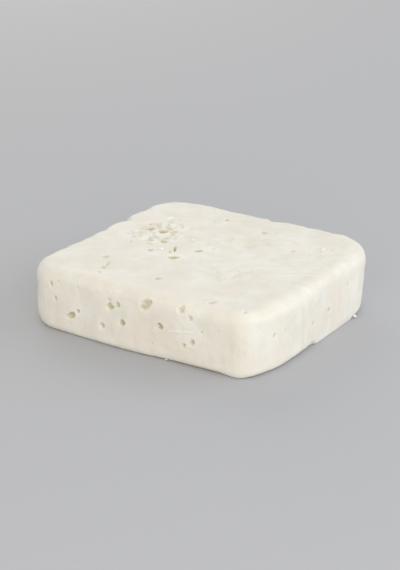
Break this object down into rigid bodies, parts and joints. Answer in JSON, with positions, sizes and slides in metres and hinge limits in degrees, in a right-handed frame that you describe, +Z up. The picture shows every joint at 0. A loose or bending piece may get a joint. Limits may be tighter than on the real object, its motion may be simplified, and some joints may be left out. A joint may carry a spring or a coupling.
{
  "type": "white cheese slab",
  "caption": "Hand-cut rectangular slab of fresh white brined cheese with rounded corners, soft rims and small open eyes on its cut faces.",
  "frame": {"origin": "middle of the bounding box at the underside, on the surface that the slab lies on", "axes": "+Z up through the thickness, +X along the longer front side, +Y from the front side to the back"},
  "size_m": [0.0842, 0.0778, 0.0205],
  "materials": {
    "white_curd": "moist, close curd with a soft satin sheen"
  },
  "bodies": {
    "root": {"cheese_slab": "white_curd"}
  },
  "joints": []
}
